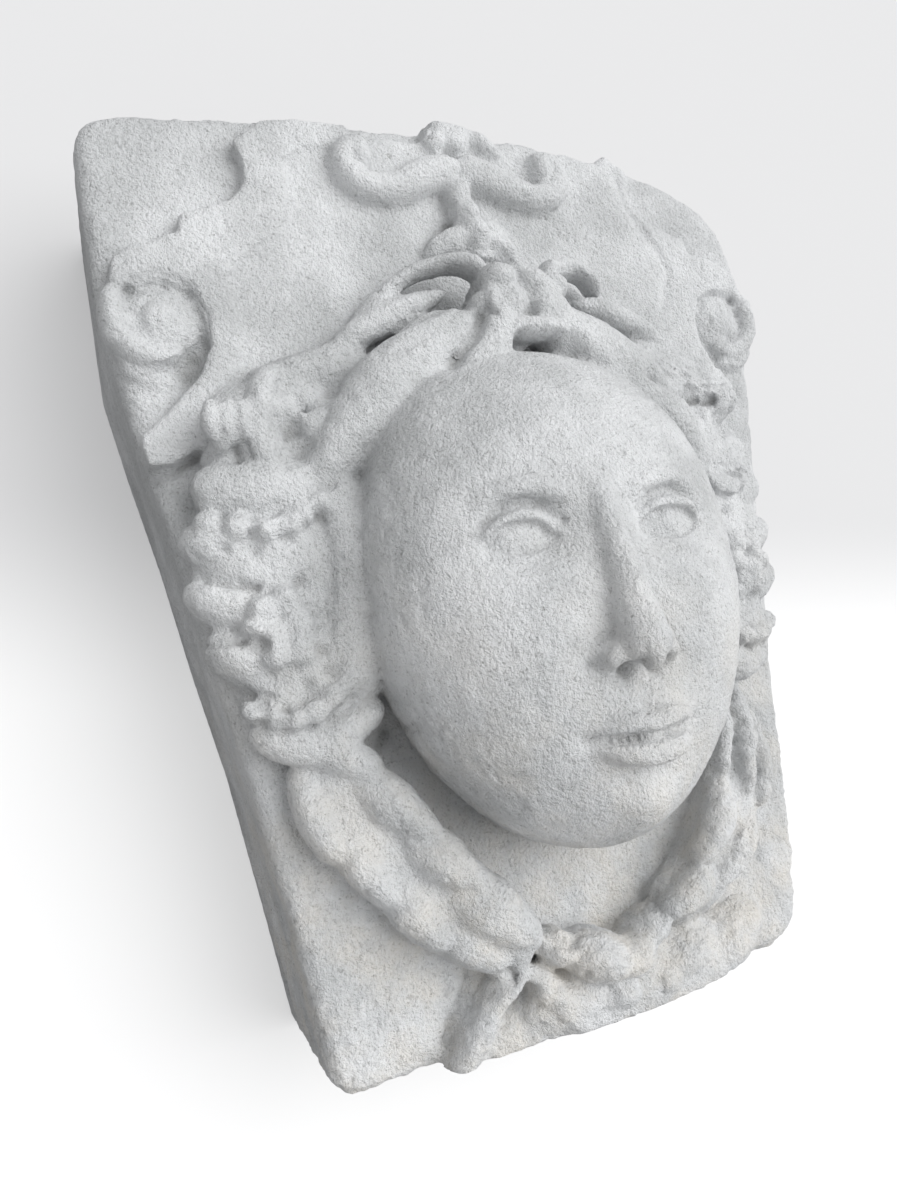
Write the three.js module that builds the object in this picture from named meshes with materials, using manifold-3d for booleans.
// A carved stone keystone with a mascaron: a woman's mask under a ribbon diadem, between beaded
// hair bundles and two braids that are knotted below the chin, on a wedge-shaped block with
// scrolled straps. The whole work is one stone, so it is one solid.
//
// Every form is described in the carver's frame, in millimetres: x to the viewer's right from
// the midline, y up from a line just above the underside, h out of the flat front field. At the
// end the stone is turned into its own frame: +Z up, the front towards -Y, the origin in the
// middle of the back.

import * as THREE from 'three';
import { mergeVertices } from 'three/addons/utils/BufferGeometryUtils.js';
import Module from 'manifold-3d';

const wasm = await Module();
wasm.setup();

// Driving dimensions of the block
const TOP = 556;              // the level part of the top bed
const UNDERSIDE = -9;
const DEPTH = 130;            // back face to the flat front field
const TOP_HALF = 226;         // half width above the shoulders
const SHOULDER = 425;         // height where the upright upper flanks end
const BOTTOM_HALF = 162;      // half width at the underside
const BED_HALF = 60;          // half width of the level part of the top bed
const ARRIS_WEAR = 7;         // how far the front arrises are worn back
const CORNER_WEAR = 9;        // how far the lower corners are worn off

// Driving dimensions of the mask
const HEAD = { x: -2, chin: 95, hairline: 372, crown: 402, half: 112, h: 36, front: 74 };
const THIRD = (HEAD.hairline - HEAD.chin) / 3;
const BROW = HEAD.chin + 2 * THIRD;
const NOSE_BASE = HEAD.chin + THIRD;
const MOUTH = NOSE_BASE - THIRD / 3;
const EYE_LINE = BROW - 0.21 * THIRD;
const EYE = 2 * HEAD.half / 5;    // one eye's width, a fifth of the face

// Relief of the ornament over the field
const STRAP_RELIEF = 14;
const LEFT = -1;
const RIGHT = 1;
const SIDES = [LEFT, RIGHT];

// Turns a closed three.js geometry into a solid.
function solid(geometry) {
  geometry.deleteAttribute('normal');
  geometry.deleteAttribute('uv');
  const welded = mergeVertices(geometry, 1e-4);
  return new wasm.Manifold(new wasm.Mesh({
    numProp: 3,
    vertProperties: new Float32Array(welded.attributes.position.array),
    triVerts: new Uint32Array(welded.index.array),
  }));
}

function join(solids) {
  return solids.reduce((sum, next) => sum.add(next));
}

// Linear blend along a list of values at an even spacing, t from 0 to 1.
function along(values, t) {
  const place = t * (values.length - 1);
  const i = Math.min(Math.floor(place), values.length - 2);
  return THREE.MathUtils.lerp(values[i], values[i + 1], place - i);
}

// A flat slab of carving: an outline raised from inside the block to `top`, edges rounded off.
function slab(shape, top, { root = -6, round = 2.5, curveSegments = 2 } = {}) {
  return solid(new THREE.ExtrudeGeometry(shape, {
    depth: top - root - 2 * round,
    bevelEnabled: true,
    bevelThickness: round,
    bevelSize: round,
    bevelOffset: -round,
    bevelSegments: 1,
    curveSegments,
  }).translate(0, 0, root + round));
}

// A rounded roll along stations [x, y, h, half width, half thickness], closed and blunt at both
// ends. `blunt` is the share of its length over which each end is rounded. `carve` scales the
// section by the place t along the roll and the angle round it, 0 towards the viewer.
function roll(stations, { sides = 6, steps = 8, blunt = 0.16, side = RIGHT, carve = null } = {}) {
  const line = new THREE.CatmullRomCurve3(
    stations.map(([x, y, h]) => new THREE.Vector3(side * x, y, h)), false, 'centripetal');
  const wide = stations.map((s) => s[3]);
  const thick = stations.map((s) => s[4]);
  const geometry = new THREE.SphereGeometry(1, sides, steps);
  const at = geometry.attributes.position;
  const p = new THREE.Vector3();
  const out = new THREE.Vector3(0, 0, 1);
  for (let i = 0; i < at.count; i += 1) {
    p.fromBufferAttribute(at, i);
    const t = Math.acos(THREE.MathUtils.clamp(p.y, -1, 1)) / Math.PI;
    const ring = Math.hypot(p.x, p.z) || 1;
    const toEnd = Math.min(1, Math.min(t, 1 - t) / blunt);
    const swell = carve ? carve(t, Math.atan2(side * p.x, p.z)) : 1;
    const end = swell * Math.sqrt(1 - (1 - toEnd) ** 2);
    const tangent = line.getTangent(t);
    const across = tangent.clone().cross(out).normalize();
    const up = across.clone().cross(tangent).normalize();
    const q = line.getPoint(t)
      .addScaledVector(across, -p.x / ring * along(wide, t) * end)
      .addScaledVector(up, p.z / ring * along(thick, t) * end);
    at.setXYZ(i, q.x, q.y, q.z);
  }
  return solid(geometry);
}

// A rounded lump at (x, y, h) with three half sizes, turned in the plane of the field.
function lobe(x, y, h, [rx, ry, rh], { side = RIGHT, turn = 0 } = {}) {
  return solid(new THREE.IcosahedronGeometry(1, 1)
    .scale(rx, ry, rh)
    .rotateZ(side * THREE.MathUtils.degToRad(turn))
    .translate(side * x, y, h));
}

// A small petal or bead, with few faces.
function petal(x, y, h, [rx, ry, rh], { side = RIGHT, turn = 0 } = {}) {
  return solid(new THREE.OctahedronGeometry(1, 1)
    .scale(rx, ry, rh)
    .rotateZ(side * THREE.MathUtils.degToRad(turn))
    .translate(side * x, y, h));
}

// Stations of a scroll about `centre`: one radius for each quarter turn from `start` degrees.
function scroll(centre, start, radii, h, half, thick, last = 0.7) {
  const perQuarter = 3;
  const count = (radii.length - 1) * perQuarter;
  return Array.from({ length: count + 1 }, (_, i) => {
    const t = i / count;
    const angle = THREE.MathUtils.degToRad(start + 90 * i / perQuarter);
    const r = along(radii, t);
    const slim = THREE.MathUtils.lerp(1, last, t);
    return [centre[0] + r * Math.cos(angle), centre[1] + r * Math.sin(angle), h,
      half * slim, thick * slim];
  });
}

// The wedge-shaped block: its top right corner is broken away and its front arrises are worn
// off, while the back stays a plain sawn face
function block() {
  const flank = [[169, 62], [181, 162], [193, 230], [204, 304], [216, 369], [TOP_HALF, SHOULDER]];
  const outline = [
    [-BOTTOM_HALF + CORNER_WEAR, UNDERSIDE],
    [BOTTOM_HALF - CORNER_WEAR, UNDERSIDE],
    [BOTTOM_HALF, UNDERSIDE + CORNER_WEAR],
    ...flank,
    [TOP_HALF, 470],
    [214, 500],
    [192, 519],
    [153, 537],
    [BED_HALF, TOP],
    [-BED_HALF, TOP],
    [-140, 554],
    [-206, 550],
    [-TOP_HALF, 538],
    ...flank.reverse().map(([x, y]) => [-x, y]),
    [-BOTTOM_HALF, UNDERSIDE + CORNER_WEAR],
  ];
  const shape = new THREE.Shape(outline.map(([x, y]) => new THREE.Vector2(x, y)));
  const behind = new THREE.ExtrudeGeometry(shape, { depth: DEPTH / 2, bevelEnabled: false })
    .translate(0, 0, -DEPTH);
  return solid(behind).add(slab(shape, 0, { root: -0.7 * DEPTH, round: ARRIS_WEAR }));
}

// One strap: from the top edge by a hook and a corner down to a foot on the flank
function strap(side) {
  const shape = new THREE.Shape();
  const move = (x, y) => shape.moveTo(side * x, y);
  const line = (x, y) => shape.lineTo(side * x, y);
  const bend = (cx, cy, x, y) => shape.quadraticCurveTo(side * cx, cy, side * x, y);
  const edge = side === LEFT ? 551 : 541;
  move(74, edge);
  line(118, edge);
  line(141, 523);
  bend(128, 495, 153, 488);
  line(177, 481);
  line(176, 467);
  line(190, 462);
  line(190, 424);
  line(173, 418);
  bend(178, 376, 218, 358);
  line(216, 335);
  bend(186, 334, 172, 366);
  bend(149, 392, 148, 412);
  bend(147, 431, 155, 443);
  line(147, 457);
  bend(119, 464, 114, 488);
  bend(107, 506, 112, 520);
  bend(100, 529, 74, 530);
  return slab(shape, STRAP_RELIEF);
}

// The volute where the strap curls in on the flank, with its eye
function volute(side) {
  const worn = side === RIGHT ? 0.8 : 1;
  const centre = [194, 424];
  const band = scroll(centre, 75, [30, 18, 14.5, 14, 9], 10, 8.5, 11 * worn)
    .map(([x, ...rest]) => [2 * centre[0] - x, ...rest]);
  return join([
    roll(band, { side, steps: 13, blunt: 0.06 }),
    petal(centre[0], centre[1] - 1, 9, [10, 10, 12 * worn], { side }),
  ]);
}

// The pair of scrolls at the top that spring from the middle
function curl(side) {
  const centre = [58, 515];
  const arm = [[-2, 514, 10, 8, 9], [18, 507, 11, 9, 10], [38, 499, 12, 9, 11]];
  return join([
    roll([...arm, ...scroll(centre, -90, [18, 18.5, 16, 10], 12, 9, 11)],
      { side, steps: 14, blunt: 0.07 }),
    petal(centre[0] - 1, centre[1] + 1, 10, [9, 9, 12], { side }),
  ]);
}

// The small palmette on the top edge, above the scrolls
function palmette() {
  const root = [-2, 530];
  const petals = [150, 108, 68, 30].map((angle) => {
    const a = THREE.MathUtils.degToRad(angle);
    return petal(root[0] + 12 * Math.cos(a), root[1] + 12 * Math.sin(a), 5, [13, 6, 12],
      { turn: angle });
  });
  return join(petals);
}

// The drop of husks that hangs from the scrolls
function husks() {
  return join([
    petal(0, 496, 15, [13, 14, 15]),
    petal(3, 478, 18, [12, 12, 16]),
    ...SIDES.flatMap((side) => [
      petal(10, 503, 14, [6, 10, 11], { side, turn: -25 }),
      petal(19, 466, 14, [20, 7, 12], { side, turn: -24 }),
    ]),
  ]);
}

// The bow of the diadem over the brow: lobes round a knot
function bow() {
  return join([
    lobe(6, 418, 42, [15, 14, 24]),
    petal(-10, 425, 42, [12, 9, 19], { turn: 30 }),
    petal(-9, 409, 46, [11, 9, 18], { turn: -25 }),
    petal(24, 425, 42, [12, 9, 19], { turn: -30 }),
    petal(27, 409, 42, [11, 9, 18], { turn: 25 }),
    petal(8, 400, 47, [14, 9, 17]),
  ]);
}

// One ribbon loop with the slim leaf that passes through it
function ribbon(side) {
  return join([
    roll([[12, 388, 54, 5, 7], [3, 404, 54, 6, 8], [6, 424, 48, 7, 9], [20, 438, 42, 7, 9],
      [42, 443, 36, 7, 9], [64, 435, 28, 8, 9], [86, 418, 22, 9, 9], [112, 402, 16, 9, 9],
      [140, 388, 10, 8, 9]], { side, steps: 11, blunt: 0.08 }),
    roll([[14, 428, 38, 4, 6], [40, 424, 36, 9, 9], [66, 415, 30, 10, 10], [96, 405, 24, 5, 6]],
      { side, sides: 5, steps: 6, blunt: 0.3 }),
  ]);
}

// The broad smooth roll of hair along the brow, and the worn tufts above its end
function hairRoll(side) {
  return join([
    roll([[6, 402, 52, 9, 14], [34, 394, 50, 19, 20], [66, 376, 46, 25, 24],
      [96, 350, 38, 25, 26], [116, 322, 28, 20, 24], [124, 300, 18, 12, 18]],
    { side, sides: 8, steps: 9, blunt: 0.16 }),
    roll([[84, 398, 22, 12, 12], [112, 384, 20, 16, 16], [140, 371, 16, 16, 16],
      [160, 362, 14, 12, 14]], { side, steps: 5, blunt: 0.3 }),
  ]);
}

// The shell-like lock at the temple, and the deep drill holes beside it
function temple(side) {
  return join([
    lobe(163, 349, 14, [23, 21, 24], { side }),
    petal(138, 338, 14, [18, 17, 22], { side }),
    ...[0, 1].map((i) => roll([[148 + 13 * i, 363 - 3 * i, 34, 4, 5],
      [156 + 13 * i, 350 - 3 * i, 38, 5, 6], [153 + 13 * i, 336 - 3 * i, 33, 4, 5]],
    { side, sides: 4, steps: 5, blunt: 0.3 })),
  ]);
}

function drillHole(x, y, h, radius, side) {
  const depth = 30;
  return solid(new THREE.CylinderGeometry(radius, 0.7 * radius, depth, 8)
    .rotateX(Math.PI / 2)
    .translate(side * x, y, h + depth / 2));
}

// The bundle of hair beside the face: one mass in slanting folds, with two rows of beads and a
// rosette on it
const BUNDLE = { x: 154, top: 332, bottom: 176, folds: 5 };

function bundle(side) {
  const { top, bottom, folds } = BUNDLE;
  const worn = side === RIGHT ? 0.86 : 1;
  const x = worn * BUNDLE.x;
  const mass = roll([[x, top, 10, 30, 24], [x + 1, 290, 12, 46 * worn, 32],
    [x + 1, 250, 12, 46 * worn, 33], [x, 212, 12, 40 * worn, 32], [x, bottom, 10, 28, 26]], {
    sides: 7,
    steps: 3 * folds,
    blunt: 0.14,
    side,
    carve: (t, angle) => 0.88 + 0.12 * Math.cos(2 * Math.PI * folds * t + 0.5 * angle),
  });
  const beadRow = (y, count, half) => Array.from({ length: count }, (_, i) => {
    const u = 2 * i / (count - 1) - 1;
    return solid(new THREE.IcosahedronGeometry(8, 0)
      .translate(side * (x + half * u), y + 7 * u * u, 39 - 18 * u * u));
  });
  const rosette = Array.from({ length: 5 }, (_, i) => {
    const a = Math.PI * (0.5 + 2 * i / 5);
    return solid(new THREE.IcosahedronGeometry(11, 0)
      .translate(side * (x - 2 + 13 * Math.cos(a)), 235 + 12 * Math.sin(a), 38));
  });
  return join([mass, ...beadRow(293, 5, 34 * worn), ...beadRow(198, 4, 24 * worn), ...rosette]);
}

// A braid: two thick strands wound about each other, so its section is long and turns
const BRAID_LINES = new Map([
  [LEFT, [[154, 184, 6, 20, 18], [136, 144, 10, 25, 22], [110, 112, 11, 27, 24],
    [80, 79, 12, 27, 24], [50, 52, 14, 25, 24], [20, 36, 16, 20, 20]]],
  [RIGHT, [[136, 190, 2, 16, 18], [142, 146, 6, 24, 20], [130, 104, 8, 26, 22],
    [106, 68, 10, 27, 24], [68, 42, 14, 26, 24], [28, 34, 16, 20, 20]]],
]);

function braid(side) {
  const turns = 2.6;
  return roll(BRAID_LINES.get(side), {
    sides: 6,
    steps: 20,
    blunt: 0.06,
    side,
    carve: (t, angle) => 0.94 + 0.18 * Math.cos(2 * (angle + 2 * Math.PI * turns * t)),
  });
}

// The knot under the chin, and the tails that spread from it to the underside
function knot() {
  const tailEnds = [-84, -42, 6, 66];
  return join([
    lobe(-8, 32, 18, [25, 20, 26]),
    petal(14, 40, 16, [19, 13, 22], { turn: -20 }),
    petal(12, 20, 18, [19, 13, 22], { turn: 15 }),
    ...tailEnds.map((x) => roll([
      [x, UNDERSIDE - 6, 12, 16, 26],
      [0.72 * x - 4, 14, 16, 13, 23],
      [0.3 * x - 8, 34, 16, 8, 14],
    ], { sides: 6, steps: 4, blunt: 0.25 })),
  ]);
}

// The head: a rounded mask, broad at the brow and narrowing to the jaw, with cheeks, mouth and
// chin swelling out of it and the eyes hollowed in
function skull() {
  const middle = (HEAD.crown + HEAD.chin) / 2;
  const halfHeight = (HEAD.crown - HEAD.chin) / 2;
  const bell = (d, width) => Math.exp(-((d / width) ** 2));
  const outline = (u, fullness) => (1 - Math.abs(u) ** fullness) ** (1 / fullness);
  const geometry = new THREE.SphereGeometry(1, 22, 15);
  const at = geometry.attributes.position;
  for (let i = 0; i < at.count; i += 1) {
    const sy = at.getY(i);
    const ring = Math.hypot(at.getX(i), at.getZ(i)) || 1;
    const [ux, uz] = [at.getX(i) / ring, at.getZ(i) / ring];
    const jaw = 1 - 0.1 * Math.max(0, 1 - (sy + 1) / 0.9);
    const x = HEAD.half * jaw * outline(sy, sy > 0 ? 2.7 : 2.1) * Math.sign(ux) * Math.abs(ux) ** 1.1;
    const y = middle + halfHeight * sy;
    const swell = 7 * bell(Math.abs(x) - 58, 30) * bell(y - NOSE_BASE - 20, 30)
      + 9 * bell(x, 34) * bell(y - MOUTH, 24)
      + 15 * bell(x, 26) * bell(y - HEAD.chin - 18, 17)
      - 13 * bell(Math.abs(x) - EYE, 25) * bell(y - EYE_LINE, 16);
    const h = HEAD.front * outline(sy, 2.6) * Math.sign(uz) * Math.abs(uz) ** 0.75;
    at.setXYZ(i, HEAD.x + x, y, HEAD.h + h + Math.max(uz, 0) ** 0.3 * swell);
  }
  return solid(geometry);
}

// The features, placed by thirds of the face's height and fifths of its width
function features() {
  const x = HEAD.x;
  const nose = roll([[x, BROW + 12, 96, 15, 10], [x, EYE_LINE + 8, 100, 9, 12],
    [x, EYE_LINE - 22, 108, 10, 14], [x, NOSE_BASE + 18, 120, 13, 15],
    [x, NOSE_BASE + 6, 118, 14, 12]], { sides: 8, steps: 8, blunt: 0.14 });
  const pairs = SIDES.flatMap((side) => {
    const eye = side * EYE + x;
    const lid = (rise, height) => roll([
      [eye - 21, EYE_LINE - 2, 90, 1.5, 3], [eye - 11, EYE_LINE + 0.75 * rise, height, 2.6, 3.5],
      [eye, EYE_LINE + rise, height + 1, 3, 3.5],
      [eye + 11, EYE_LINE + 0.75 * rise, height, 2.6, 3.5],
      [eye + 21, EYE_LINE - 2, 90, 1.5, 3]], { sides: 4, steps: 6, blunt: 0.1 });
    return [
      lobe(eye, EYE_LINE, 82, [20, 13, 17]),
      lid(10, 99),
      lid(-9, 97),
      roll([[x + side * 12, BROW - 2, 104, 4, 5], [x + side * 34, BROW + 6, 102, 6, 7],
        [x + side * 60, BROW + 3, 92, 6, 7], [x + side * 82, BROW - 12, 76, 4, 5]],
      { steps: 6, sides: 5 }),
      petal(x + side * 15, NOSE_BASE + 9, 108, [9, 9, 12]),
    ];
  });
  const lips = [
    roll([[x - 33, MOUTH + 1, 98, 2, 4], [x - 15, MOUTH + 6, 108, 5, 7], [x, MOUTH + 5, 111, 5, 7],
      [x + 15, MOUTH + 6, 108, 5, 7], [x + 33, MOUTH + 1, 98, 2, 4]], { sides: 6, blunt: 0.08 }),
    roll([[x - 30, MOUTH - 2, 97, 2, 4], [x - 13, MOUTH - 7, 107, 6, 7], [x, MOUTH - 8, 110, 6, 7],
      [x + 13, MOUTH - 7, 107, 6, 7], [x + 30, MOUTH - 2, 97, 2, 4]], { sides: 6, blunt: 0.1 }),
  ];
  return join([nose, ...pairs, ...lips]);
}

const raised = join([
  block(),
  ...SIDES.flatMap((side) => [strap(side), volute(side), curl(side), ribbon(side), hairRoll(side),
    temple(side), bundle(side), braid(side)]),
  palmette(),
  husks(),
  bow(),
  knot(),
  skull(),
  features(),
]);

const lost = [
  drillHole(128, 364, 18, 8, LEFT),
  drillHole(138, 344, 20, 7, LEFT),
  // chips out of the right arris
  lobe(206, 178, 6, [42, 28, 32]),
  lobe(226, 391, 6, [34, 14, 32]),
];

// What is carved never stands above the top bed, beside the flanks or below the underside
const stoneLimits = solid(new THREE.BoxGeometry(2 * TOP_HALF, TOP - UNDERSIDE, 4 * DEPTH)
  .translate(0, (TOP + UNDERSIDE) / 2, 0));

const carved = lost.reduce((stone, piece) => stone.subtract(piece), raised)
  .intersect(stoneLimits);

function toGeometry(manifold) {
  const mesh = manifold.getMesh();
  const geometry = new THREE.BufferGeometry();
  geometry.setAttribute('position', new THREE.BufferAttribute(mesh.vertProperties, 3));
  geometry.setIndex(new THREE.BufferAttribute(mesh.triVerts, 1));
  return geometry.rotateX(Math.PI / 2).translate(0, -DEPTH, -(TOP + UNDERSIDE) / 2);
}

const limestone = new THREE.MeshStandardMaterial({ color: 0xb9b6b0, roughness: 0.95, metalness: 0 });
const stone = new THREE.Mesh(toGeometry(carved), limestone);
stone.name = 'keystone_mascaron';

const keystone = new THREE.Group();
keystone.add(stone);

export default keystone;
